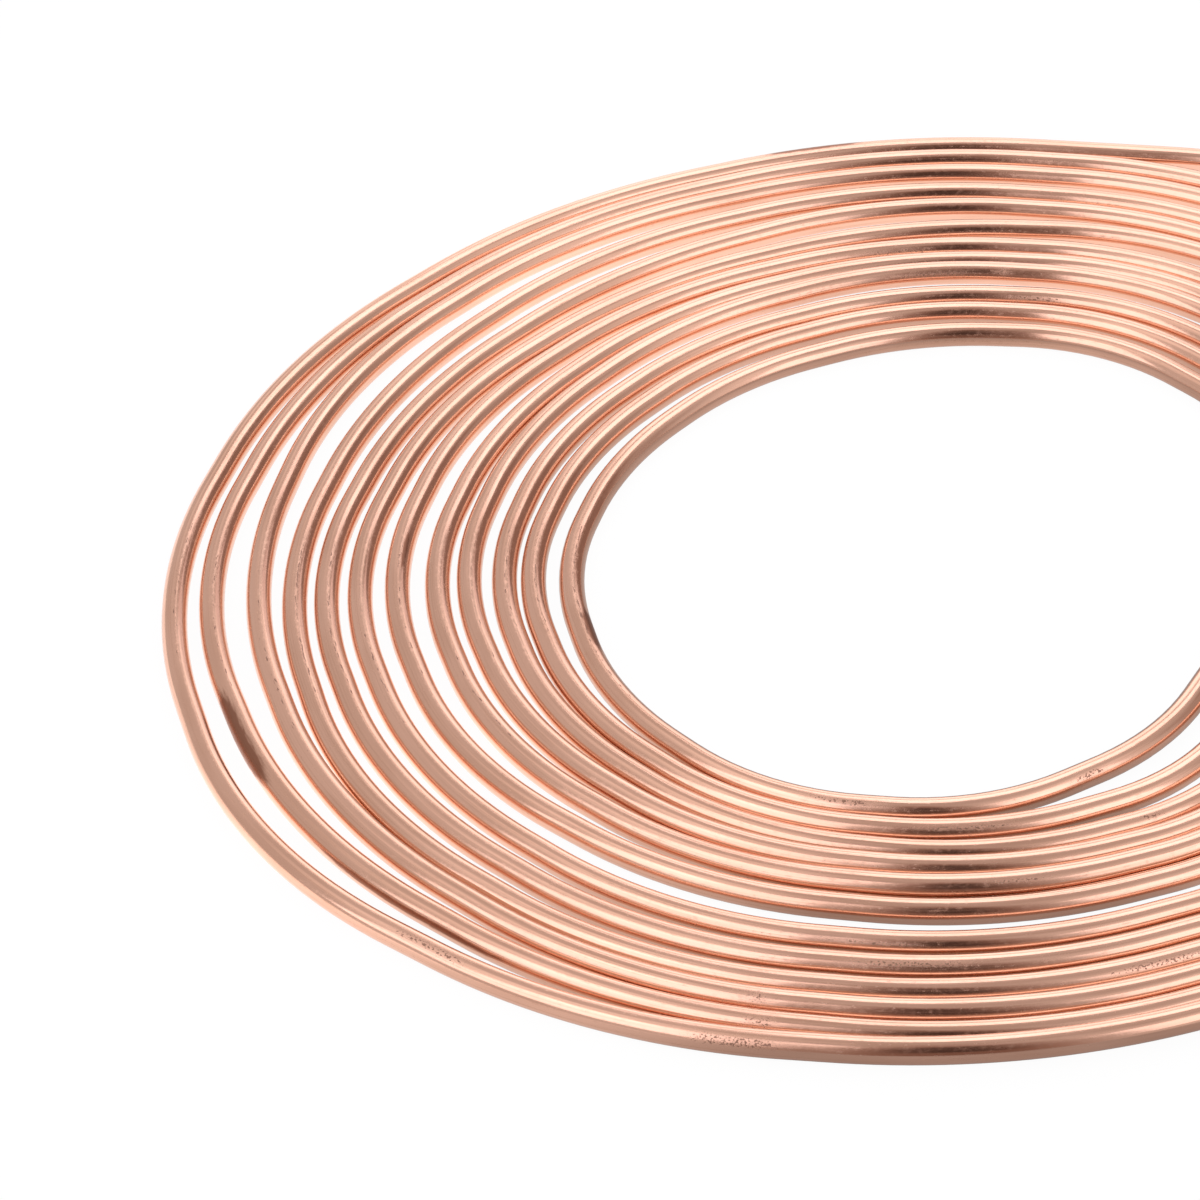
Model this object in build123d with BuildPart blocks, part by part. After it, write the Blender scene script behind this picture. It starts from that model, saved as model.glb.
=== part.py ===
# Flat coil of soft copper tube, wound in one layer and lying on its side.
#
# Millimetres, +Z up. The origin is on the floor, on the axis that the tube is wound about.
# Bearings are degrees, counter-clockwise from +X as seen from above. The winding runs the
# same way round, from the free outer end inwards to the end that curls into the eye.

import os
from math import cos, pi, radians, sin, sqrt, tan

from build123d import *

# The tube
tube_od = 4.7625
tube_wall = 0.711

# The winding, pulled loose and so uneven. Turn 1 is the outermost. At each bearing stands the
# radius of the innermost turn, then the gaps between neighbouring turns, from inside to outside.
# A gap of 0 is a pair that rests together, with only the clearance between its walls.
clearance = 0.12
turn_layout = {
    60: (75.2, (1.9, 1.3, 2.7, 0.1, 0.2, 3.5, 0.9, 0.6, 2.6, 1.2, 0.5)),
    90: (70.4, (2.9, 0.7, 2.4, 0.5, 0.5, 1.0, 4.3, 0.9, 2.4, 0.3, 0)),
    120: (67.8, (2.6, 1.2, 2.5, 0, 1.1, 0, 2.1, 3.8, 3.5, 0, 0.2)),
    150: (67.2, (2.6, 1.2, 2.0, 0.3, 2.6, 0.9, 0.9, 2.3, 4.8, 0.6, 1.1)),
    180: (69.6, (2.4, 0.5, 1.8, 1.1, 2.6, 2.1, 1.3, 0.8, 1.9, 4.5, 1.6)),
    210: (72.3, (1.4, 0.3, 0.8, 1.2, 2.6, 2.4, 1.6, 1.9, 0, 2.1, 4.3)),
    240: (75.2, (0, 0, 0, 0, 1.0, 4.0, 1.2, 1.1, 0, 0.1, 0.8)),
    270: (72.2, (0.6, 0.8, 0, 0, 0, 3.1, 0.8, 0.6, 0, 0.4, 0)),
    300: (64.0, (6.2, 2.3, 0.3, 0, 0.1, 2.2, 0.6, 0.7, 0, 0.3, 0.2)),
}

# Where a turn has no room between its neighbours it rides up on their flanks. Its lift off the
# floor stands here by bearing and turn. Every other turn lies on the floor.
turn_lift = {
    60: {9: 0.4},
    90: {2: 0.3, 9: 1.3},
    120: {9: 0.1},
    210: {3: 0.6},
    240: {1: 0.1, 3: 0.3, 8: 0.2, 9: 0.5},
    270: {1: 1.6, 8: 1.2, 9: 0.9},
    300: {1: 1.5, 8: 0.8, 9: 0.2},
}

# On the side between the last bearing and the first, each turn runs over into the next one in.
# It lies this much further in than an even run-over would.
run_over_inset = {330: 12, 360: 13, 390: 3}

# Between its stations the tube turns in bends as wide as its runs allow: each bend takes this
# share of the shorter run beside it, and a short straight is left between one and the next.
run_share = 0.45

# The two free ends: each leaves its turn in a straight run to a point at this bearing, and
# lies this much further out or in than the turn that it leaves.
outer_end_bearing = 47
outer_end_reach = 11
inner_end_bearing = 328
inner_end_reach = 6

bearings = list(turn_layout)
first_bearing = bearings[0]
last_bearing = bearings[-1]
bearing_step = bearings[1] - bearings[0]
turns = 1 + len(turn_layout[first_bearing][1])


def lift_at(turn, bearing):
    """Lift of one turn off the floor at a bearing that the layout names."""
    return turn_lift.get(bearing, {}).get(turn, 0)


def radius_at(turn, bearing):
    """Radius of one turn at a bearing that the layout names: from the eye outwards, each
    turn is a tube further out than the one inside it, less where one rides up on the other."""
    radius, gaps = turn_layout[bearing]
    for inner_turn, gap in zip(range(turns, turn, -1), gaps):
        ride_up = lift_at(inner_turn, bearing) - lift_at(inner_turn - 1, bearing)
        radius += sqrt((tube_od + clearance) ** 2 - ride_up**2) + gap
    return radius


def station(turn, bearing):
    """Radius and lift at any bearing of a turn. Past the last one of the layout, the turn
    runs over into the next one."""
    if bearing <= last_bearing:
        return radius_at(turn, bearing), lift_at(turn, bearing)
    share = (bearing - last_bearing) / (first_bearing + 360 - last_bearing)
    radius = (1 - share) * radius_at(turn, last_bearing) + share * radius_at(turn + 1, first_bearing)
    lift = (1 - share) * lift_at(turn, last_bearing) + share * lift_at(turn + 1, first_bearing)
    return radius - run_over_inset[bearing], lift


def floor_point(radius, bearing, lift=0):
    """A point of the tube's middle, given by its radius, its bearing and its lift."""
    angle = radians(bearing)
    return Vector(radius * cos(angle), radius * sin(angle), tube_od / 2 + lift)


# A bend passes inside its corner, so a corner stands this much further out than its station.
corner_reach = 1 / (1 - 2 * run_share * (1 - cos(radians(bearing_step / 2))))
corners = []
for turn in range(1, turns + 1):
    stop = last_bearing if turn == turns else first_bearing + 360 - bearing_step
    for bearing in range(first_bearing, stop + 1, bearing_step):
        radius, lift = station(turn, bearing)
        corners.append(floor_point(radius * corner_reach, bearing, lift))

outer_tip = floor_point(radius_at(1, first_bearing) + outer_end_reach, outer_end_bearing)
inner_tip = floor_point(radius_at(turns, last_bearing) - inner_end_reach, inner_end_bearing)
route = [outer_tip] + corners + [inner_tip]


def bend_radius(before, corner, after):
    """The radius of the bend at one corner of the route."""
    into = corner - before
    out = after - corner
    shorter = min(into.length, out.length)
    return run_share * shorter / tan(radians(into.get_angle(out)) / 2)


bends = [bend_radius(*route[i - 1 : i + 2]) for i in range(1, len(route) - 1)]

with BuildPart() as tube_coil:
    with BuildLine() as centreline:
        FilletPolyline(*route, radius=bends)
    start = Plane(origin=centreline.line @ 0, z_dir=centreline.line % 0)
    with BuildSketch(start):
        Circle(tube_od / 2)
        Circle(tube_od / 2 - tube_wall, mode=Mode.SUBTRACT)
    sweep(path=centreline.line)
tube_coil.part.label = "tube_coil"

path = centreline.wires()[0]
section_area = pi * tube_wall * (tube_od - tube_wall)
print(f"tube length {path.length:.1f} mm, tightest bend {min(bends):.1f} mm")
print(f"volume over section times length {tube_coil.part.volume / section_area / path.length:.5f}")
outer_straight = path.edges()[0]
inner_straight = path.edges()[-1]
print("outer end at", outer_straight @ 0, "pointing", -(outer_straight % 0))
print("inner end at", inner_straight @ 1, "pointing", inner_straight % 1)
print(f"straight for {outer_straight.length:.2f} mm and {inner_straight.length:.2f} mm")

os.makedirs("parts", exist_ok=True)
export_step(tube_coil.part, "parts/tube_coil.step")
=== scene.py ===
# %% [markdown]
# A coil of soft copper tube
#
# The real thing is one length of thin copper tube, wound by hand into a flat open coil. Its
# turns lie side by side on the table, some apart, some pressed together, and the inner end
# curls into the eye. Everything that makes it look like copper is in how the tube curves
# and in what its drawn surface does with the light, so this lesson spends its effort there.
#
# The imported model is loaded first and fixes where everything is, in metres.

import bpy
import numpy as np
from mathutils import Matrix, Vector


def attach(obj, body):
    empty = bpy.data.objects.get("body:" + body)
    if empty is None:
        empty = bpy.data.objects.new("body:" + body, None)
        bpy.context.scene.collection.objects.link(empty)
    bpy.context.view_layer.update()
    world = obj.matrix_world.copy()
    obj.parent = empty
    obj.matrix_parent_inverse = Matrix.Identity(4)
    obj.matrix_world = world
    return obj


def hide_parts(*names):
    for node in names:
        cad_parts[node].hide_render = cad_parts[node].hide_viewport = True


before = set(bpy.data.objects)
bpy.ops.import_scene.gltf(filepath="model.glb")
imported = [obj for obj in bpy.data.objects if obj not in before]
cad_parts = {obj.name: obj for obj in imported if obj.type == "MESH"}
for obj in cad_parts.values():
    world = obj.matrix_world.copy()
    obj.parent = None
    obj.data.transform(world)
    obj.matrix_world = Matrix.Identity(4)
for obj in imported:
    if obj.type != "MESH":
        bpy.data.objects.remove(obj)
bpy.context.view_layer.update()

# %% [markdown]
# The line that the tube follows
#
# A coil pulled loose by hand isn't a clean spiral, so a formula such as radius = a + b * angle
# looks wrong at once. It could be traced as a spline with hundreds of points, but then the
# points, and not the tube, are what the reader has to understand. Here it is described as
# someone with a ruler would: at nine bearings, the radius of the innermost turn, and then the
# gaps from one turn to the next, outwards. A gap of 0 is a pair that rests together. Where a
# turn has no room between its neighbours it rides up on them, and its lift is given too. All
# of this is the construction's own layout, in millimetres and degrees, with turn 1 outermost.

# %% The layout of the winding
MM = 0.001
TUBE_OD = 4.7625
TUBE_WALL = 0.711
CLEARANCE = 0.12
TURNS = 12
BEARING_STEP = 30

TURN_LAYOUT = {
    60: (75.2, (1.9, 1.3, 2.7, 0.1, 0.2, 3.5, 0.9, 0.6, 2.6, 1.2, 0.5)),
    90: (70.4, (2.9, 0.7, 2.4, 0.5, 0.5, 1.0, 4.3, 0.9, 2.4, 0.3, 0)),
    120: (67.8, (2.6, 1.2, 2.5, 0, 1.1, 0, 2.1, 3.8, 3.5, 0, 0.2)),
    150: (67.2, (2.6, 1.2, 2.0, 0.3, 2.6, 0.9, 0.9, 2.3, 4.8, 0.6, 1.1)),
    180: (69.6, (2.4, 0.5, 1.8, 1.1, 2.6, 2.1, 1.3, 0.8, 1.9, 4.5, 1.6)),
    210: (72.3, (1.4, 0.3, 0.8, 1.2, 2.6, 2.4, 1.6, 1.9, 0, 2.1, 4.3)),
    240: (75.2, (0, 0, 0, 0, 1.0, 4.0, 1.2, 1.1, 0, 0.1, 0.8)),
    270: (72.2, (0.6, 0.8, 0, 0, 0, 3.1, 0.8, 0.6, 0, 0.4, 0)),
    300: (64.0, (6.2, 2.3, 0.3, 0, 0.1, 2.2, 0.6, 0.7, 0, 0.3, 0.2)),
}
TURN_LIFT = {
    60: {9: 0.4},
    90: {2: 0.3, 9: 1.3},
    120: {9: 0.1},
    210: {3: 0.6},
    240: {1: 0.1, 3: 0.3, 8: 0.2, 9: 0.5},
    270: {1: 1.6, 8: 1.2, 9: 0.9},
    300: {1: 1.5, 8: 0.8, 9: 0.2},
}
# On the side without a layout each turn runs over into the next one in, and lies this much
# further in than an even run-over would.
RUN_OVER_INSET = {330: 12, 360: 13, 390: 3}
OUTER_END_BEARING, OUTER_END_REACH = 47, 11
INNER_END_BEARING, INNER_END_REACH = 328, 6
print(TURNS, "turns, laid out at the bearings", list(TURN_LAYOUT))


# %% Radius and lift of every turn
def station_table():
    """Radius and lift of every turn at every bearing of the layout, as two whole tables with a
    row for each bearing and a column for each turn, outermost first. From the eye outwards each
    turn adds one tube and its gap, less where one rides up on the other: the step across is
    sqrt(pitch^2 - difference of lifts^2) + gap, and a running sum of the steps gives radii."""
    eye = np.array([row[0] for row in TURN_LAYOUT.values()], float)
    gaps = np.array([row[1] for row in TURN_LAYOUT.values()], float)
    lift = np.array(
        [[TURN_LIFT.get(b, {}).get(turn, 0) for turn in range(TURNS, 0, -1)] for b in TURN_LAYOUT],
        float,
    )
    steps = np.sqrt((TUBE_OD + CLEARANCE) ** 2 - np.diff(lift, axis=1) ** 2) + gaps
    radius = eye[:, None] + np.concatenate([np.zeros((len(eye), 1)), np.cumsum(steps, axis=1)], 1)
    return radius[:, ::-1], lift[:, ::-1]


def whole_turns(values, inset):
    """Stations of all turns in one row, outside to inside: the layout's own, and then three
    more on the side where a turn runs over into the next one, evenly between the two."""
    share = np.arange(1, len(inset) + 1) / (len(inset) + 1)
    following = np.append(values[0, 1:], values[0, -1])
    over = values[-1][None, :] * (1 - share[:, None]) + following[None, :] * share[:, None]
    rows = np.concatenate([values, over - np.array(inset)[:, None]], axis=0)
    return rows.T.reshape(-1)


radius_rows, lift_rows = station_table()
insets = list(RUN_OVER_INSET.values())
no_insets = [0] * len(insets)
station_radius = whole_turns(radius_rows, insets)[: -len(insets)]
station_lift = whole_turns(lift_rows, no_insets)[: -len(insets)]
station_bearing = min(TURN_LAYOUT) + BEARING_STEP * np.arange(len(station_radius))
nearest, farthest = station_radius.min(), station_radius.max()
print(f"{len(station_radius)} stations, radius {nearest:.1f} to {farthest:.1f} mm")

# %% [markdown]
# Straight runs and round bends
#
# Soft tube keeps the bends that hands and rollers gave it, so its line is short straights
# joined by arcs, never a sharp corner. The corners of the route stand a little outside the
# stations, and each is rounded by an arc that takes a little under half of the shorter run
# beside it, so that a short straight is left between one bend and the next. With the lengths
# of all the pieces added up, any distance along the tube can be turned into a point, for
# thousands of distances at once.

# %% The corners of the route
RUN_SHARE = 0.45


def polar(radius, bearing, lift):
    """Points of the tube's middle, in millimetres, from radius, bearing in degrees and lift."""
    angle = np.radians(bearing)
    height = TUBE_OD / 2 + np.asarray(lift) + 0 * angle
    return np.stack([radius * np.cos(angle), radius * np.sin(angle), height], axis=-1)


def make_route():
    """The corners of the line, from the outer tip to the inner one."""
    reach = 1 / (1 - 2 * RUN_SHARE * (1 - np.cos(np.radians(BEARING_STEP / 2))))
    corners = polar(station_radius * reach, station_bearing, station_lift)
    outer_tip = polar(station_radius[0] + OUTER_END_REACH, OUTER_END_BEARING, 0)
    inner_tip = polar(station_radius[-1] - INNER_END_REACH, INNER_END_BEARING, 0)
    return np.concatenate([outer_tip[None], corners, inner_tip[None]]) * MM


route = make_route()
print("the route has", len(route) - 2, "corners between its two tips")


# %% Straights and arcs
def unit(vectors):
    """Each vector divided by its own length."""
    return vectors / np.linalg.norm(vectors, axis=-1, keepdims=True)


def split_route(route):
    """Cuts the route into straights and arcs. A bend takes its share of the shorter run on
    each side of the corner, and its radius is that length over the tangent of half the turn."""
    run = np.diff(route, axis=0)
    length = np.linalg.norm(run, axis=1)
    way = unit(run)
    turn = np.arccos(np.clip((way[:-1] * way[1:]).sum(1), -1, 1))
    cut = RUN_SHARE * np.minimum(length[:-1], length[1:])
    bend = cut / np.tan(turn / 2)
    into = route[1:-1] - way[:-1] * cut[:, None]
    out = route[1:-1] + way[1:] * cut[:, None]
    inward = unit(way[1:] - way[:-1] * (way[1:] * way[:-1]).sum(1, keepdims=True))
    starts = np.concatenate([route[:1], out])
    ends = np.concatenate([into, route[-1:]])
    straight = np.linalg.norm(ends - starts, axis=1)
    return {
        "starts": starts,
        "way": way,
        "straight": straight,
        "bend": bend,
        "arc": bend * turn,
        "into": into,
        "inward": inward,
    }


line = split_route(route)
tube_length = line["straight"].sum() + line["arc"].sum()
print(f"the line is {tube_length:.4f} m long, its tightest bend {line['bend'].min() / MM:.1f} mm")


# %% Points at any distance along the line
def follow(pieces, distance):
    """Points and directions at the given distances. Straight and arc take turns along the line,
    so a sorted list of where each begins says which one a distance falls in. On a straight the
    point is start + way * d. On an arc it is start + way * r sin(a) + inward * r (1 - cos(a))."""
    count = len(pieces["straight"])
    lengths = np.zeros(2 * count)
    lengths[0::2] = pieces["straight"]
    lengths[1:-1:2] = pieces["arc"]
    begins = np.concatenate([[0], np.cumsum(lengths)])
    piece = np.clip(np.searchsorted(begins, distance, side="right") - 1, 0, 2 * count - 2)
    along = distance - begins[piece]
    k = piece // 2
    bend_k = np.minimum(k, count - 2)
    angle = along / pieces["bend"][bend_k]
    r = pieces["bend"][bend_k][:, None]
    sin, cos = np.sin(angle)[:, None], np.cos(angle)[:, None]
    way, inward = pieces["way"][bend_k], pieces["inward"][bend_k]
    on_arc = pieces["into"][bend_k] + way * r * sin + inward * r * (1 - cos)
    arc_way = way * cos + inward * sin
    on_straight = pieces["starts"][k] + pieces["way"][k] * along[:, None]
    bent = (piece % 2 == 1)[:, None]
    return np.where(bent, on_arc, on_straight), np.where(bent, arc_way, pieces["way"][k])


tips = follow(line, np.array([0, tube_length]))[0]
print("the tube's middle runs from", tips[0].round(4), "to", tips[1].round(4))

# %% [markdown]
# The tube's skin
#
# The tube could be a curve with a bevel, but then nothing could say where along the tube a
# stain or a scratch sits. So a ring is carried along the line instead: at every distance one
# ring of points, square to the line. The inside is a second, coarser sleeve, and the two are
# joined at both cut ends, where the wheel cutter leaves a narrow flat rim.
#
# Each point also keeps its place on the tube pulled straight: how far along, and where round
# it. Patterns that follow the drawing of the metal read that place, not the room's axes.

# %% Rings along the line
RINGS = 2700
SIDES = 30
BORE_RINGS = 1100
BORE_SIDES = SIDES // 2


def sleeve(distance, radius, sides):
    """Rings of points about the line: centre + side * r sin(a) + up * r cos(a), with a = 0 on
    top. Returns the points, and the place of each on the tube pulled straight."""
    centre, way = follow(line, distance)
    side = unit(np.cross(way, [0.0, 0.0, 1.0]))
    up = np.cross(side, way)
    angle = 2 * np.pi * np.arange(sides) / sides
    sin, cos = np.sin(angle), np.cos(angle)
    ring = side[:, None, :] * sin[None, :, None] + up[:, None, :] * cos[None, :, None]
    points = centre[:, None, :] + ring * np.asarray(radius)[:, None, None]
    place = np.empty((len(distance), sides, 3))
    place[..., 0] = distance[:, None]
    place[..., 1] = np.asarray(radius)[:, None] * sin
    place[..., 2] = np.asarray(radius)[:, None] * cos
    return points.reshape(-1, 3), place.reshape(-1, 3)


print(f"a ring of {SIDES} points every {tube_length / RINGS / MM:.2f} mm")


# %% Faces between the rings
def quads(rings, sides, first=0, flip=False):
    """Four-sided faces between neighbouring rings, as one table of corner numbers."""
    ring = np.arange(rings - 1)[:, None] * sides
    a = np.arange(sides)[None, :]
    b = (a + 1) % sides
    table = np.stack([ring + a, ring + b, ring + sides + b, ring + sides + a], axis=-1)
    table = table.reshape(-1, 4) + first
    return table[:, ::-1] if flip else table


def rim(outer_first, bore_first, flip):
    """The flat rim of a cut end. The bore has half as many sides as the outside, so each bore
    side j takes three triangles: (o 2j, o 2j+1, i j), (o 2j+1, i j+1, i j) and
    (o 2j+1, o 2j+2, i j+1), where o counts round the outside and i round the bore."""
    j = np.arange(BORE_SIDES)
    near, middle = outer_first + 2 * j, outer_first + 2 * j + 1
    far = outer_first + (2 * j + 2) % SIDES
    bore, bore_next = bore_first + j, bore_first + (j + 1) % BORE_SIDES
    triangles = [(near, middle, bore), (middle, bore_next, bore), (middle, far, bore_next)]
    faces = np.concatenate([np.stack(t, axis=-1) for t in triangles])
    return faces[:, ::-1] if flip else faces


print("one rim has", len(rim(0, SIDES, False)), "triangles")

# %% The whole tube
RIM_BREAK = 0.12 * MM
SUPPORT_RING = 1.6 * RIM_BREAK


def tube_mesh():
    """The whole hollow tube: outside, bore and the two cut rims, with broken outer edges. A
    ring close behind each broken edge keeps its shading from running on down the tube."""
    outer_radius = TUBE_OD / 2 * MM
    bore_radius = (TUBE_OD / 2 - TUBE_WALL) * MM
    near_end = np.array([0, RIM_BREAK, SUPPORT_RING])
    rings_between = RINGS - 2 * len(near_end)
    between = np.linspace(near_end[-1], tube_length - near_end[-1], rings_between + 2)[1:-1]
    distance = np.concatenate([near_end, between, tube_length - near_end[::-1]])
    radius = np.full(RINGS, outer_radius)
    radius[[0, -1]] -= RIM_BREAK
    outside, outside_place = sleeve(distance, radius, SIDES)
    bore_distance = np.linspace(0, tube_length, BORE_RINGS)
    bore, bore_place = sleeve(bore_distance, np.full(BORE_RINGS, bore_radius), BORE_SIDES)
    bore_first = len(outside)
    last_out = bore_first - SIDES
    last_bore = bore_first + len(bore) - BORE_SIDES
    groups = [
        quads(RINGS, SIDES),
        quads(BORE_RINGS, BORE_SIDES, bore_first, flip=True),
        rim(0, bore_first, flip=True),
        rim(last_out, last_bore, flip=False),
    ]
    points = np.concatenate([outside, bore])
    place = np.concatenate([outside_place, bore_place])
    return points, place, groups


points, place, face_groups = tube_mesh()
triangles = sum(len(g) * (g.shape[1] - 2) for g in face_groups)
print(len(points), "points,", triangles, "triangles")

# %% [markdown]
# Where the tube is marked
#
# New copper tube isn't clean all over. Fingers and tape leave a brown stain, turns that rub
# together leave scuffs, and each turn has a broken line of dark specks on its crest at the left.
# A texture repeated over the whole coil would put such marks everywhere. Here each one has a
# place: its turn, its bearing, how long it is, and where round the tube it lies. It is then
# worked out for all points at once how strongly each mark reaches them.

# %% The marks, by turn
# Each row: turn, bearing in degrees, half its length in mm, angle from the top of the tube
# outwards and half its width, both in degrees.
STAINS = [
    (2, 199, 13, 54, 42),
    (2, 222, 22, 74, 13),
    (1, 96, 10, 20, 25),
    (7, 176, 6, -26, 11),
    (12, 196, 6, -40, 25),
]
SCUFFS = [
    (12, 251, 7, 28, 16),
    (6, 256, 4, 50, 10),
    (6, 260, 5, 49, 10),
    (3, 250, 2, 34, 40),
    (2, 251, 2, 43, 40),
    (1, 250, 9, 50, 30),
    (1, 227, 9, 20, 22),
    (9, 86, 9, -60, 16),
    (9, 77, 2, -45, 25),
    (7, 90, 8, -58, 14),
    (10, 72, 6, -55, 14),
    (12, 285, 4, 46, 22),
    (8, 272, 6, 36, 12),
    (10, 290, 3, 29, 20),
    (5, 262, 12, 30, 18),
    (4, 282, 10, 40, 18),
    (11, 267, 9, 35, 14),
]
# Broken lines of dark specks on the crest, at about the same bearing on every turn, on the left side
# of the coil.
CREST_SPECK_LINES = [
    (1, 181, 34, -6, 9),
    (2, 186, 30, -10, 8),
    (3, 190, 34, 3, 9),
    (4, 186, 34, -12, 9),
    (5, 187, 34, -10, 10),
    (6, 192, 32, -5, 9),
    (7, 186, 32, -8, 9),
    (8, 205, 26, 3, 9),
    (9, 188, 24, -8, 8),
    (10, 180, 30, -6, 10),
    (11, 183, 26, -8, 9),
    (12, 190, 34, -10, 10),
]
print(len(STAINS), "stains,", len(SCUFFS), "scuffs and", len(CREST_SPECK_LINES), "die lines")

# %% How strongly each mark reaches each point
LINE_SAMPLES = 8001
MARK_REACH = 3
CLEARLY_MARKED = 0.3


def distance_at(turn, bearing):
    """How far along the tube a turn's bearing lies: the direction of each sampled point is
    unwound into one growing bearing, and the wanted one is looked up in it."""
    sample = np.linspace(0, tube_length, LINE_SAMPLES)
    centre = follow(line, sample)[0]
    unwound = np.degrees(np.unwrap(np.arctan2(centre[:, 1], centre[:, 0])))
    return np.interp(bearing + 360 * (np.asarray(turn) - 1), unwound, sample)


def mark_strength(marks, place):
    """From 0, clean, to 1, for every point: the greatest over all marks of
    exp(-(along / half length)^4) * exp(-(round / half width)^2)."""
    turn, bearing, half_length, angle, half_width = np.array(marks, float).T
    strength = np.zeros(len(place))
    point_angle = np.degrees(np.arctan2(place[:, 1], place[:, 2]))
    for row, centre in enumerate(distance_at(turn, bearing)):
        near = np.abs(place[:, 0] - centre) < MARK_REACH * half_length[row] * MM
        along = (place[near, 0] - centre) / (half_length[row] * MM)
        across = (point_angle[near] - angle[row] + 180) % 360 - 180
        mark = np.exp(-(along**4)) * np.exp(-((across / half_width[row]) ** 2))
        strength[near] = np.maximum(strength[near], mark)
    return strength


marks = np.stack([mark_strength(m, place) for m in (STAINS, SCUFFS, CREST_SPECK_LINES)], axis=-1)
print("points with a stain, a scuff, a die line:", (marks > CLEARLY_MARKED).sum(axis=0))

# %% [markdown]
# The arrays go into the mesh in one call each. The outside, the bore and the cut rims get
# material slots of their own, and the rims stay flat-shaded so that their edges look cut.


# %% Put the arrays into a mesh
def build_object(name, points, groups, slots, attributes):
    """A mesh object from arrays. slots says which material slot each group of faces takes, and
    attributes are tables of three numbers for each point, stored by name. Faces in the last
    slot are shaded flat, and all others smooth."""
    corners = np.concatenate([g.reshape(-1) for g in groups])
    sizes = np.concatenate([np.full(len(g), g.shape[1]) for g in groups])
    mesh = bpy.data.meshes.new(name)
    mesh.vertices.add(len(points))
    mesh.vertices.foreach_set("co", points.reshape(-1))
    mesh.loops.add(len(corners))
    mesh.loops.foreach_set("vertex_index", corners)
    mesh.polygons.add(len(sizes))
    mesh.polygons.foreach_set("loop_start", np.concatenate([[0], np.cumsum(sizes)[:-1]]))
    mesh.update(calc_edges=True)
    index = np.concatenate([np.full(len(g), s) for g, s in zip(groups, slots)])
    mesh.polygons.foreach_set("material_index", index)
    mesh.polygons.foreach_set("use_smooth", index != max(slots))
    for label, table in attributes.items():
        stored = mesh.attributes.new(label, "FLOAT_VECTOR", "POINT")
        stored.data.foreach_set("vector", table.reshape(-1))
    mesh.validate()
    obj = bpy.data.objects.new(name, mesh)
    bpy.context.scene.collection.objects.link(obj)
    return obj


OUTSIDE_SLOT, BORE_SLOT, CUT_SLOT = 0, 1, 2
slot_of_group = (OUTSIDE_SLOT, BORE_SLOT, CUT_SLOT, CUT_SLOT)
tables = {"tube_place": place, "tube_marks": marks}
tube = build_object("copper_tube", points, face_groups, slot_of_group, tables)
print(tube.name, "has", len(tube.data.polygons), "faces")

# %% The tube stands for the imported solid
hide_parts("tube_coil")
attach(tube, "root")
print(tube.name, "replaces tube_coil")

# %% [markdown]
# Patterns that several finishes share
#
# Node trees get long when every material repeats the same few nodes. Each pattern below is a
# group with named sockets, built once. A group puts out only values, and the shader that uses
# them stays in its own material. A few small helpers keep the wiring readable.


# %% Nodes and their wires
def wire(tree, value, socket):
    """Links an output to a socket, or sets the socket to a plain value."""
    if isinstance(value, bpy.types.NodeSocket):
        tree.links.new(value, socket)
    else:
        socket.default_value = value


def node(tree, kind, inputs=None, **settings):
    """A node with its settings, and its inputs wired by name or number."""
    made = tree.nodes.new(kind)
    for name, value in settings.items():
        setattr(made, name, value)
    for key, value in (inputs or {}).items():
        wire(tree, value, made.inputs[key])
    return made


def calc(tree, operation, *values):
    """One sum, product or other step between values."""
    numbered = dict(enumerate(values))
    return node(tree, "ShaderNodeMath", numbered, operation=operation).outputs[0]


def ramp(tree, value, low, high, to_low=0.0, to_high=1.0):
    """A smooth step: to_low up to low, to_high from high on."""
    made = node(tree, "ShaderNodeMapRange", {"Value": value}, interpolation_type="SMOOTHSTEP")
    limits = {"From Min": low, "From Max": high, "To Min": to_low, "To Max": to_high}
    for label, number in limits.items():
        wire(tree, number, made.inputs[label])
    return made.outputs["Result"]


print("made the node helpers wire, node, calc and ramp")

# %% [markdown]
# Drawn lines
#
# The die leaves hair-fine lines along the tube. They are noise, read on the tube pulled
# straight and squeezed hard across it: per metre there are thousands of changes round the
# tube, and only dozens along it. A second, shorter noise breaks the lines up.

# %% An empty group, and noise stretched along the tube
FLOAT, VECTOR = "NodeSocketFloat", "NodeSocketVector"


def group(name, inputs, outputs):
    """An empty node group with named sockets. Returns its tree and both ends."""
    tree = bpy.data.node_groups.new(name, "ShaderNodeTree")
    for label, kind, value in inputs:
        socket = tree.interface.new_socket(label, in_out="INPUT", socket_type=kind)
        if value is not None:
            socket.default_value = value
    for label, kind in outputs:
        tree.interface.new_socket(label, in_out="OUTPUT", socket_type=kind)
    start = tree.nodes.new("NodeGroupInput").outputs
    end = tree.nodes.new("NodeGroupOutput").inputs
    return tree, start, end


def stretched_noise(tree, place, along, across, detail):
    """Noise on the straightened tube, with its own number of changes per metre along it and
    across it."""
    scale = node(tree, "ShaderNodeCombineXYZ", {"X": along, "Y": across, "Z": across})
    moved = node(tree, "ShaderNodeVectorMath", {0: place, 1: scale.outputs[0]}, operation="MULTIPLY")
    cloud = node(tree, "ShaderNodeTexNoise", {"Vector": moved.outputs[0]})
    cloud.inputs["Scale"].default_value = 1
    cloud.inputs["Detail"].default_value = detail
    return cloud.outputs["Fac"]


print("made the group helpers group and stretched_noise")

# %% The group for drawn lines
DASHES_PER_LINE = 9.0

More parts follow.
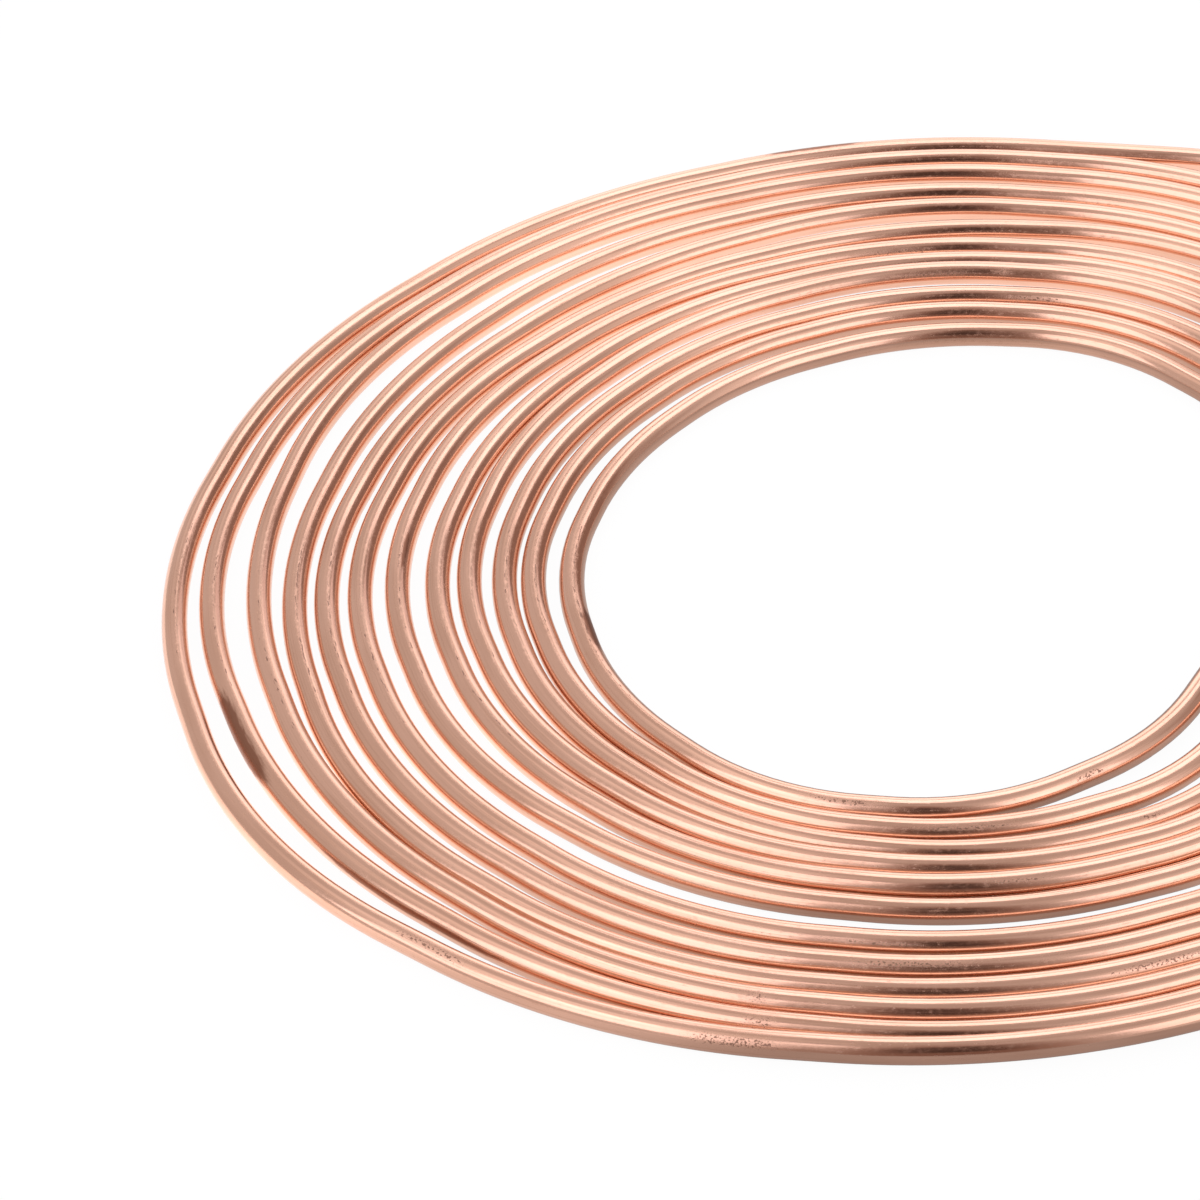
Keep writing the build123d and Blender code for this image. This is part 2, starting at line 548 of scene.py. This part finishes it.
lines_tree, start, end = group(
    "drawn_lines",
    [("Place", VECTOR, None), ("Along", FLOAT, 40.0), ("Across", FLOAT, 2600.0)],
    [("Lines", FLOAT), ("Dashes", FLOAT)],
)
long_lines = stretched_noise(lines_tree, start["Place"], start["Along"], start["Across"], detail=3)
dash_rate = calc(lines_tree, "MULTIPLY", start["Along"], DASHES_PER_LINE)
dashes = stretched_noise(lines_tree, start["Place"], dash_rate, start["Across"], detail=2)
wire(lines_tree, long_lines, end["Lines"])
wire(lines_tree, dashes, end["Dashes"])
print(lines_tree.name, "has", len(lines_tree.nodes), "nodes")

# %% [markdown]
# Tarnish
#
# Copper darkens in the air in clouds, a little browner here than there. Nothing on a new coil
# is strong, so the group gives one slow cloud and one fine mottle, and the material says how
# much of each it wants.

# %% The group for tarnish
CLOUD_SQUEEZE = 6.0
CLOUD_FROM, CLOUD_FULL = 0.38, 0.68
MOTTLE_ALONG, MOTTLE_ACROSS = 900.0, 1400.0
MOTTLE_FROM, MOTTLE_FULL = 0.45, 0.75

tarnish_tree, start, end = group(
    "tarnish",
    [("Place", VECTOR, None), ("Scale", FLOAT, 60.0)],
    [("Cloud", FLOAT), ("Mottle", FLOAT)],
)
cloud_across = calc(tarnish_tree, "MULTIPLY", start["Scale"], CLOUD_SQUEEZE)
cloud = stretched_noise(tarnish_tree, start["Place"], start["Scale"], cloud_across, detail=2)
mottle = stretched_noise(tarnish_tree, start["Place"], MOTTLE_ALONG, MOTTLE_ACROSS, detail=3)
wire(tarnish_tree, ramp(tarnish_tree, cloud, CLOUD_FROM, CLOUD_FULL), end["Cloud"])
wire(tarnish_tree, ramp(tarnish_tree, mottle, MOTTLE_FROM, MOTTLE_FULL), end["Mottle"])
print(tarnish_tree.name, "has", len(tarnish_tree.nodes), "nodes")

# %% [markdown]
# Specks
#
# Scuffs and the crest lines are made of many small dark dots. Fine noise is cut off high, so
# that only its peaks are left, and the stronger the mark, the lower the cut. A mark that
# hardly reaches a point leaves no dots there at all.

# %% The group for specks
CUT_WHERE_CLEAN, CUT_WHERE_MARKED = 0.80, 0.51
DOT_EDGE = 0.06
MARK_FROM, MARK_FULL = 0.02, 0.2

specks_tree, start, end = group(
    "specks",
    [
        ("Place", VECTOR, None),
        ("Strength", FLOAT, 0.0),
        ("Along", FLOAT, 900.0),
        ("Across", FLOAT, 1500.0),
    ],
    [("Specks", FLOAT)],
)
dots = stretched_noise(specks_tree, start["Place"], start["Along"], start["Across"], detail=2)
cut = ramp(specks_tree, start["Strength"], 0.0, 1.0, CUT_WHERE_CLEAN, CUT_WHERE_MARKED)
above_cut = calc(specks_tree, "SUBTRACT", dots, cut)
shown = ramp(specks_tree, above_cut, 0.0, DOT_EDGE)
marked = ramp(specks_tree, start["Strength"], MARK_FROM, MARK_FULL)
wire(specks_tree, calc(specks_tree, "MULTIPLY", shown, marked), end["Specks"])
print(specks_tree.name, "has", len(specks_tree.nodes), "nodes")

# %% [markdown]
# Copper
#
# Clean copper has no colour of its own but what it does to reflections: it takes out blue and
# some green. So the base colour is what a mirror of copper does to white light, and nearly all
# the brown on the front of the coil is darkness in the room, not paint. A little brown sits in
# streaks along some of the drawn lines, and in clouds.
#
# Where a turn shows in its neighbour, light has met copper twice and comes out a deep red. A
# photo with bleached highlights shows those narrow lines paler and more orange, so copper that
# is seen in copper gets a base colour of its own. It could be done to the finished picture
# instead, but then the next picture of the coil would not have it.
#
# The rest is roughness and a very small bump: lines less than a hundredth of a millimetre
# high, and a slow wave in the tube where fingers have bent it.

# %% The colours of copper
COPPER = (0.925, 0.53, 0.388, 1)
COPPER_IN_COPPER = (0.88, 0.62, 0.485, 1)
BROWNED = (0.74, 0.40, 0.275, 1)
STAINED = (0.27, 0.10, 0.055, 1)
DARK_SPECK = (0.20, 0.09, 0.06, 1)
OXIDE = (0.42, 0.20, 0.13, 1)
FRESH_CUT = (0.95, 0.60, 0.46, 1)


def mix_colour(tree, factor, first, second):
    """A colour between two, by a factor."""
    made = node(tree, "ShaderNodeMix", data_type="RGBA")
    wire(tree, factor, made.inputs["Factor"])
    wire(tree, first, made.inputs["A"])
    wire(tree, second, made.inputs["B"])
    return made.outputs["Result"]


print("a mirror of clean copper turns white into", COPPER[:3])


# %% A metal that knows its place on the tube
def place_group(tree, name, **values):
    """Puts a group into a tree. Underscores in the names of its inputs stand for spaces."""
    made = node(tree, "ShaderNodeGroup", node_tree=bpy.data.node_groups[name])
    for label, value in values.items():
        wire(tree, value, made.inputs[label.replace("_", " ")])
    return made.outputs


def metal(name):
    """A material with its shader set to metal. Returns the tree, the shader and the two
    stored tables: the place on the straightened tube, and the marks."""
    made = bpy.data.materials.new(name)
    made.use_nodes = True
    tree = made.node_tree
    shader = tree.nodes["Principled BSDF"]
    shader.inputs["Metallic"].default_value = 1
    place = node(tree, "ShaderNodeAttribute", attribute_name="tube_place").outputs["Vector"]
    marks = node(tree, "ShaderNodeAttribute", attribute_name="tube_marks").outputs["Vector"]
    tube.data.materials.append(made)
    return tree, shader, place, node(tree, "ShaderNodeSeparateXYZ", {0: marks}).outputs


tree, shader, place_read, (stain, scuff, crest_line) = metal("copper_skin")
print("the outside is", tube.data.materials[OUTSIDE_SLOT].name)

# %% Patterns on the outside
DRAWN_RATES = {"Along": 40.0, "Across": 2600.0}
FINE_RATES = {"Along": 22.0, "Across": 3600.0}
SCUFF_RATES = {"Along": 2300.0, "Across": 3000.0}
CREST_LINE_RATES = {"Along": 420.0, "Across": 2600.0}
SKIN_CLOUDS = 45.0
STAIN_FRAYING = 0.5
STAIN_FROM, STAIN_FULL = 0.38, 0.85
STREAK_FROM, STREAK_FULL = 0.50, 0.66
FAINTEST_STREAK = 0.5

drawn = place_group(tree, "drawn_lines", Place=place_read, **DRAWN_RATES)
fine = place_group(tree, "drawn_lines", Place=place_read, **FINE_RATES)
air = place_group(tree, "tarnish", Place=place_read, Scale=SKIN_CLOUDS)
scuff_specks = place_group(tree, "specks", Place=place_read, Strength=scuff, **SCUFF_RATES)
line_specks = place_group(tree, "specks", Place=place_read, Strength=crest_line, **CREST_LINE_RATES)
specks = calc(tree, "MAXIMUM", scuff_specks["Specks"], line_specks["Specks"])
stain_edge = calc(tree, "MULTIPLY", drawn["Dashes"], STAIN_FRAYING)
stain_shown = ramp(tree, calc(tree, "ADD", stain, stain_edge), STAIN_FROM, STAIN_FULL)
streak_breaks = ramp(tree, air["Mottle"], 0.0, 1.0, FAINTEST_STREAK, 1.0)
streak = ramp(tree, fine["Lines"], STREAK_FROM, STREAK_FULL)
streak = calc(tree, "MULTIPLY", streak, streak_breaks)
print("patterns on the outside:", [n.node_tree.name for n in tree.nodes if n.type == "GROUP"])

# %% The colour of the outside
CLOUD_BROWN, STREAK_BROWN = 0.4, 0.65
STAIN_COVER, SPECK_COVER = 0.88, 0.75

streak_brown = calc(tree, "MULTIPLY", streak, STREAK_BROWN)
brown_share = calc(tree, "MULTIPLY_ADD", air["Cloud"], CLOUD_BROWN, streak_brown)
seen_in_copper = node(tree, "ShaderNodeLightPath").outputs["Is Glossy Ray"]
clean = mix_colour(tree, seen_in_copper, COPPER, COPPER_IN_COPPER)
colour = mix_colour(tree, brown_share, clean, BROWNED)
colour = mix_colour(tree, calc(tree, "MULTIPLY", stain_shown, STAIN_COVER), colour, STAINED)
colour = mix_colour(tree, calc(tree, "MULTIPLY", specks, SPECK_COVER), colour, DARK_SPECK)
wire(tree, colour, shader.inputs["Base Color"])
print("the streaks are at most", STREAK_BROWN, "brown, and the stain covers", STAIN_COVER)

# %% The gloss of the outside
SMOOTHEST = 0.08
ROUGHER_BY = (
    (drawn["Lines"], 0.14),
    (air["Mottle"], 0.08),
    (streak, 0.10),
    (stain_shown, 0.2),
    (scuff, 0.15),
    (specks, 0.12),
)
METAL_LOST_IN_SPECKS = 0.15

rough = SMOOTHEST
for effect, amount in ROUGHER_BY:
    rough = calc(tree, "MULTIPLY_ADD", effect, amount, rough)
wire(tree, rough, shader.inputs["Roughness"])
metallic = calc(tree, "MULTIPLY_ADD", specks, -METAL_LOST_IN_SPECKS, 1.0)
wire(tree, metallic, shader.inputs["Metallic"])
print("roughness from", SMOOTHEST, "to", round(SMOOTHEST + sum(a for _, a in ROUGHER_BY), 2))

# %% The relief of the outside
LINE_HEIGHT = 0.009 * MM
WAVE_HEIGHT = 0.03 * MM
WAVE_ALONG, WAVE_ACROSS = 70.0, 180.0
FINE_LINE_SHARE = 0.6

wave = stretched_noise(tree, place_read, WAVE_ALONG, WAVE_ACROSS, detail=1)
slow_bump = node(tree, "ShaderNodeBump", {"Height": wave, "Distance": WAVE_HEIGHT})
relief = calc(tree, "MULTIPLY_ADD", fine["Lines"], FINE_LINE_SHARE, drawn["Lines"])
relief = calc(tree, "SUBTRACT", relief, specks)
fine_bump = node(tree, "ShaderNodeBump", {"Height": relief, "Distance": LINE_HEIGHT})
wire(tree, slow_bump.outputs[0], fine_bump.inputs["Normal"])
wire(tree, fine_bump.outputs[0], shader.inputs["Normal"])
print(tube.data.materials[OUTSIDE_SLOT].name, "has", len(tree.nodes), "nodes")

# %% [markdown]
# The bore and the cuts
#
# Nothing rubs the bore bright, so it is duller and browner than the outside. The rims were cut
# with a wheel cutter: bright metal, with the fine rings that the wheel and the reamer leave.

# %% The bore
BORE_RATES = {"Along": 60.0, "Across": 1800.0}
BORE_CLOUDS = 120.0
BORE_SMOOTHEST, BORE_ROUGHER_BY = 0.35, 0.3
BORE_LINE_HEIGHT = 2 * LINE_HEIGHT

tree, shader, place_read, _ = metal("copper_bore")
drawn = place_group(tree, "drawn_lines", Place=place_read, **BORE_RATES)
air = place_group(tree, "tarnish", Place=place_read, Scale=BORE_CLOUDS)
wire(tree, mix_colour(tree, air["Cloud"], OXIDE, BROWNED), shader.inputs["Base Color"])
rough = calc(tree, "MULTIPLY_ADD", drawn["Lines"], BORE_ROUGHER_BY, BORE_SMOOTHEST)
wire(tree, rough, shader.inputs["Roughness"])
bore_relief = {"Height": drawn["Lines"], "Distance": BORE_LINE_HEIGHT}
wire(tree, node(tree, "ShaderNodeBump", bore_relief).outputs[0], shader.inputs["Normal"])
print(tube.data.materials[BORE_SLOT].name, "has", len(tree.nodes), "nodes")

# %% The cut rims
RINGS_PER_METRE = 14000.0
CUT_CLOUDS = 300.0
CUT_BROWN = 0.5
CUT_SMOOTHEST, CUT_ROUGHER_BY = 0.2, 0.25
TOOL_RING_HEIGHT = 2 * LINE_HEIGHT

tree, shader, place_read, _ = metal("copper_cut")
flat_place = node(tree, "ShaderNodeVectorMath", {0: place_read, 1: (0, 1, 1)}, operation="MULTIPLY")
from_axis = node(tree, "ShaderNodeVectorMath", {0: flat_place.outputs[0]}, operation="LENGTH")
ring_angle = calc(tree, "MULTIPLY", from_axis.outputs["Value"], 2 * np.pi * RINGS_PER_METRE)
tool_rings = calc(tree, "MULTIPLY_ADD", calc(tree, "SINE", ring_angle), 0.5, 0.5)
air = place_group(tree, "tarnish", Place=place_read, Scale=CUT_CLOUDS)
cut_brown = calc(tree, "MULTIPLY", air["Cloud"], CUT_BROWN)
wire(tree, mix_colour(tree, cut_brown, FRESH_CUT, BROWNED), shader.inputs["Base Color"])
rough = calc(tree, "MULTIPLY_ADD", air["Mottle"], CUT_ROUGHER_BY, CUT_SMOOTHEST)
wire(tree, rough, shader.inputs["Roughness"])
cut_relief = {"Height": tool_rings, "Distance": TOOL_RING_HEIGHT}
wire(tree, node(tree, "ShaderNodeBump", cut_relief).outputs[0], shader.inputs["Normal"])
print(tube.data.materials[CUT_SLOT].name, "has", len(tree.nodes), "nodes")

# %% [markdown]
# Light and dark patches
#
# Neither the room nor the table under studio lights is even, and the tube shows it. One group
# serves both. It takes a direction, or a place on the floor seen from the middle of the coil,
# and gives a soft-edged patch between an azimuth's two sides and two heights, in degrees.
# Azimuth 0 is straight ahead of the camera, and it grows to the right. On the floor the height
# is always 0, so there only the azimuth counts.

# %% A patch of light or dark
patch_tree, start, end = group(
    "room_patch",
    [
        ("Look", VECTOR, None),
        ("Azimuth", FLOAT, 0.0),
        ("Half Width", FLOAT, 20.0),
        ("Low", FLOAT, 0.0),
        ("High", FLOAT, 40.0),
        ("Blur", FLOAT, 10.0),
        ("Amount", FLOAT, 0.5),
    ],
    [("Light", FLOAT)],
)
x, y, z = node(patch_tree, "ShaderNodeSeparateXYZ", {0: start["Look"]}).outputs
azimuth = calc(patch_tree, "DEGREES", calc(patch_tree, "ARCTAN2", x, y))
height = calc(patch_tree, "DEGREES", calc(patch_tree, "ARCSINE", z))
aside = calc(patch_tree, "SUBTRACT", azimuth, start["Azimuth"])
aside = calc(patch_tree, "ABSOLUTE", calc(patch_tree, "WRAP", aside, 180.0, -180.0))
half_blur = calc(patch_tree, "MULTIPLY", start["Blur"], 0.5)


def edge(value, at, before, past):
    """A soft edge of the patch, from one number before it to another past it."""
    first = calc(patch_tree, "SUBTRACT", at, half_blur)
    last = calc(patch_tree, "ADD", at, half_blur)
    return ramp(patch_tree, value, first, last, before, past)


inside = edge(aside, start["Half Width"], 1.0, 0.0)
inside = calc(patch_tree, "MULTIPLY", inside, edge(height, start["Low"], 0.0, 1.0))
inside = calc(patch_tree, "MULTIPLY", inside, edge(height, start["High"], 1.0, 0.0))
wire(patch_tree, calc(patch_tree, "MULTIPLY", inside, start["Amount"]), end["Light"])
print(patch_tree.name, "has", len(patch_tree.nodes), "nodes")

# %% [markdown]
# Floor
#
# The floor is white paper. Its own colour takes the light and the coil's soft shadow, and a
# glow is mixed in for the rays that show it, which makes it as white as a cut-out background.
# The camera gets most of the glow. The metal gets a glow of its own, dim in most places, so
# that the dark contact lines between turns stay, and brighter in a few pools of light: behind
# the coil, to its left and under two of the lamps. The pools fade out towards the eye.

# %% Patches added up
# Each row of a table: azimuth, half the width, lowest and highest elevation and blur of the
# edges, all in degrees, and the brightness that the patch adds, or takes away below 0.
FLOOR_PATCHES = {
    "behind the coil": (5, 42, -90, 90, 50, 0.9),
    "left of the coil": (-78, 52, -90, 90, 30, 0.8),
    "under the left box": (-130, 24, -90, 90, 24, 0.45),
    "under the right box": (137, 20, -90, 90, 24, 0.45),
}


def patches(tree, base, look, table):
    """A base value with all patches of a table added to it."""
    total = base
    for azimuth_at, half, low, high, blur, amount in table.values():
        patch = place_group(
            tree,
            "room_patch",
            Look=look,
            Azimuth=float(azimuth_at),
            Half_Width=float(half),
            Low=float(low),
            High=float(high),
            Blur=float(blur),
            Amount=amount,
        )
        total = calc(tree, "ADD", total, patch["Light"])
    return total


print("pools of light on the floor:", list(FLOOR_PATCHES))

# %% The floor
FLOOR_HALF = 6.0
PAPER_WHITE = (0.82, 0.82, 0.82, 1)
PAPER_ROUGHNESS = 0.9

corners = FLOOR_HALF * np.array([[-1, -1, 0], [1, -1, 0], [1, 1, 0], [-1, 1, 0]])
floor_mesh = bpy.data.meshes.new("floor")
floor_mesh.from_pydata(corners.tolist(), [], [(0, 1, 2, 3)])
floor = bpy.data.objects.new("floor", floor_mesh)
bpy.context.scene.collection.objects.link(floor)

paper = bpy.data.materials.new("white_paper")
paper.use_nodes = True
floor.data.materials.append(paper)
tree = paper.node_tree
paper_shader = tree.nodes["Principled BSDF"]
paper_shader.inputs["Base Color"].default_value = PAPER_WHITE
paper_shader.inputs["Roughness"].default_value = PAPER_ROUGHNESS
print("the floor is", 2 * FLOOR_HALF, "m wide")

# %% The floor's glow
GLOW_SHARE_FOR_CAMERA, GLOW_FOR_CAMERA = 0.93, 1.03
GLOW_SHARE_FOR_METAL, GLOW_FOR_METAL = 0.85, 0.35
POOLS_FROM, POOLS_FULL = 0.05, 0.10

path_kind = node(tree, "ShaderNodeLightPath").outputs
by_camera = path_kind["Is Camera Ray"]
by_metal = calc(tree, "MAXIMUM", path_kind["Is Glossy Ray"], path_kind["Is Transmission Ray"])
where = node(tree, "ShaderNodeTexCoord").outputs["Object"]
from_middle = node(tree, "ShaderNodeVectorMath", {0: where}, operation="LENGTH").outputs["Value"]
pools = patches(tree, 0.0, where, FLOOR_PATCHES)
pools = calc(tree, "MULTIPLY", pools, ramp(tree, from_middle, POOLS_FROM, POOLS_FULL))
for_metal = calc(tree, "MULTIPLY", calc(tree, "ADD", pools, GLOW_FOR_METAL), by_metal)
strength = calc(tree, "MULTIPLY_ADD", by_camera, GLOW_FOR_CAMERA, for_metal)
glow = node(tree, "ShaderNodeEmission", {"Color": (1, 1, 1, 1), "Strength": strength})
share = calc(tree, "MULTIPLY", by_camera, GLOW_SHARE_FOR_CAMERA)
share = calc(tree, "MULTIPLY_ADD", by_metal, GLOW_SHARE_FOR_METAL, share)
mix = node(tree, "ShaderNodeMixShader", {0: share, 1: paper_shader.outputs[0], 2: glow.outputs[0]})
wire(tree, mix.outputs[0], tree.nodes["Material Output"].inputs["Surface"])
print(paper.name, "has", len(tree.nodes), "nodes")

# %% [markdown]
# Light
#
# A shiny tube shows the room as a bundle of stripes: its crest shows what stands behind it,
# its near flank what stands over and behind the camera. So the stripes are placed by placing
# the lights. Over the far side hangs a broad soft box, which draws the cream band on every
# crest, and a dim one stands low behind the coil. On either side of the camera stands a tall
# one, and between them is a dark gap, which draws the brown patches on the front and the back
# of the coil.
#
# The room itself is grey, and not even: some of its walls are paler, some darker. It is a
# world shader with a few soft patches, in the same form as the floor's. Its darkest places are
# tinted brown, which makes the dark bands on the tube as warm as in the photo, and the lamps
# are a little cool, which keeps the highlights cream rather than orange.

# %% The room
ROOM_GREY = 0.59
BROWN_CURTAIN, WHITE_WALL = (1, 0.66, 0.55, 1), (1, 1, 1, 1)
BROWN_UP_TO, WHITE_FROM = 0.15, 0.55
ROOM_PATCHES = {
    "dark behind the camera": (180, 18, -90, 74, 24, -0.40),
    "the camera": (180, 9, 25, 84, 14, -0.14),
    "dark at the back right": (41, 26, -90, 38, 17, -0.32),
    "grey to its right": (89, 20, -90, 40, 20, -0.18),
    "pale wall behind": (4, 19, -90, 32, 10, 0.42),
    "spill over the left box": (-82, 45, 52, 79, 24, 0.40),
    "spill beside the right box": (121, 27, -10, 60, 20, 0.28),
    "dim ceiling": (0, 181, 74, 120, 16, -0.11),
}

world = bpy.data.worlds.new("studio_room")
bpy.context.scene.world = world
world.use_nodes = True
tree = world.node_tree
look = node(tree, "ShaderNodeTexCoord").outputs["Generated"]
radiance = patches(tree, ROOM_GREY, look, ROOM_PATCHES)
whiteness = ramp(tree, radiance, BROWN_UP_TO, WHITE_FROM)
room = tree.nodes["Background"]
wire(tree, radiance, room.inputs["Strength"])
wire(tree, mix_colour(tree, whiteness, BROWN_CURTAIN, WHITE_WALL), room.inputs["Color"])
print("the room is", ROOM_GREY, "bright, with", len(ROOM_PATCHES), "patches")

# %% The soft boxes
LAMP_WHITE = (0.97, 1.0, 1.10)


def soft_box(name, centre, looks_at, width, height, brightness):
    """A rectangular lamp with its middle at one point, turned to look at another. Brightness
    is what a mirror would show of it, where 1 is white: power = brightness * pi * area."""
    lamp = bpy.data.lights.new(name, "AREA")
    lamp.shape = "RECTANGLE"
    lamp.size, lamp.size_y = width, height
    lamp.energy = brightness * np.pi * width * height
    lamp.color = LAMP_WHITE
    obj = bpy.data.objects.new(name, lamp)
    obj.location = centre
    obj.rotation_mode = "QUATERNION"
    obj.rotation_quaternion = (Vector(centre) - Vector(looks_at)).to_track_quat("Z", "Y")
    obj.visible_camera = False
    bpy.context.scene.collection.objects.link(obj)
    print(name, "gives", round(lamp.energy, 3), "watts")


def standing_box(name, left, right, low, high, reach, brightness):
    """An upright soft box between two azimuths and two elevations, seen from the coil. At the
    given reach across the floor its width is 2 * reach * tan(half the azimuths' difference)."""
    bottom, top = (reach * np.tan(np.radians(e)) for e in (low, high))
    width = 2 * reach * np.tan(np.radians((right - left) / 2))
    azimuth = np.radians((left + right) / 2)
    x, y = reach * np.sin(azimuth), reach * np.cos(azimuth)
    middle = (bottom + top) / 2
    soft_box(name, (x, y, middle), (0, 0, middle), width, top - bottom, brightness)


print("the lamps are tinted", LAMP_WHITE)

# %% The lamps in their places
OVERHEAD_CENTRE, OVERHEAD_AIM = (0.159, 0.466, 0.656), (0.159, 0.278, 0)
OVERHEAD_WIDTH, OVERHEAD_DEPTH, OVERHEAD_BRIGHTNESS = 0.43, 0.48, 1.22
# Each row: left and right azimuth, low and high elevation, in degrees, reach in metres and
# brightness.
STANDING_BOXES = {
    "back_box": (-18, 20, 8.5, 32.5, 0.36, 0.62),
    "left_box": (-159, -101.5, 18, 63.5, 0.65, 1.05),
    "right_box": (118.5, 155.5, 11, 48, 0.84, 0.82),
}

soft_box(
    "overhead_box",
    OVERHEAD_CENTRE,
    OVERHEAD_AIM,
    OVERHEAD_WIDTH,
    OVERHEAD_DEPTH,
    OVERHEAD_BRIGHTNESS,
)
for name, row in STANDING_BOXES.items():
    standing_box(name, *row)

# %% [markdown]
# Camera
#
# The camera looks down on the coil from the front, a little to the left of its middle, and
# leans by about three degrees. A long lens from close by keeps the perspective of a table-top
# shot. Distances are in metres, angles in degrees, and the sensor and lens in millimetres.

# %% The camera
CAMERA_DISTANCE = 0.781
CAMERA_TARGET = Vector((-0.0647, -0.0057, 0.0))
CAMERA_ELEVATION = 38.35
CAMERA_ROLL = -2.91
SENSOR_WIDTH, LENS = 36, 126

tilt, roll = np.radians(CAMERA_ELEVATION), np.radians(CAMERA_ROLL)
ahead = Vector((0, np.cos(tilt), -np.sin(tilt)))
right = Vector((1, 0, 0))
upward = Vector((0, np.sin(tilt), np.cos(tilt)))
rolled_right = np.cos(roll) * right + np.sin(roll) * upward
rolled_up = np.cos(roll) * upward - np.sin(roll) * right
camera_data = bpy.data.cameras.new("camera")
camera_data.sensor_width = SENSOR_WIDTH
camera_data.lens = LENS
camera = bpy.data.objects.new("camera", camera_data)
turned = Matrix((rolled_right, rolled_up, -ahead)).transposed().to_4x4()
camera.matrix_world = Matrix.Translation(CAMERA_TARGET - ahead * CAMERA_DISTANCE) @ turned
bpy.context.scene.collection.objects.link(camera)
bpy.context.scene.camera = camera
bpy.context.scene.view_settings.view_transform = "Standard"
print("camera", round(camera.matrix_world.translation.z, 3), "m above the floor")
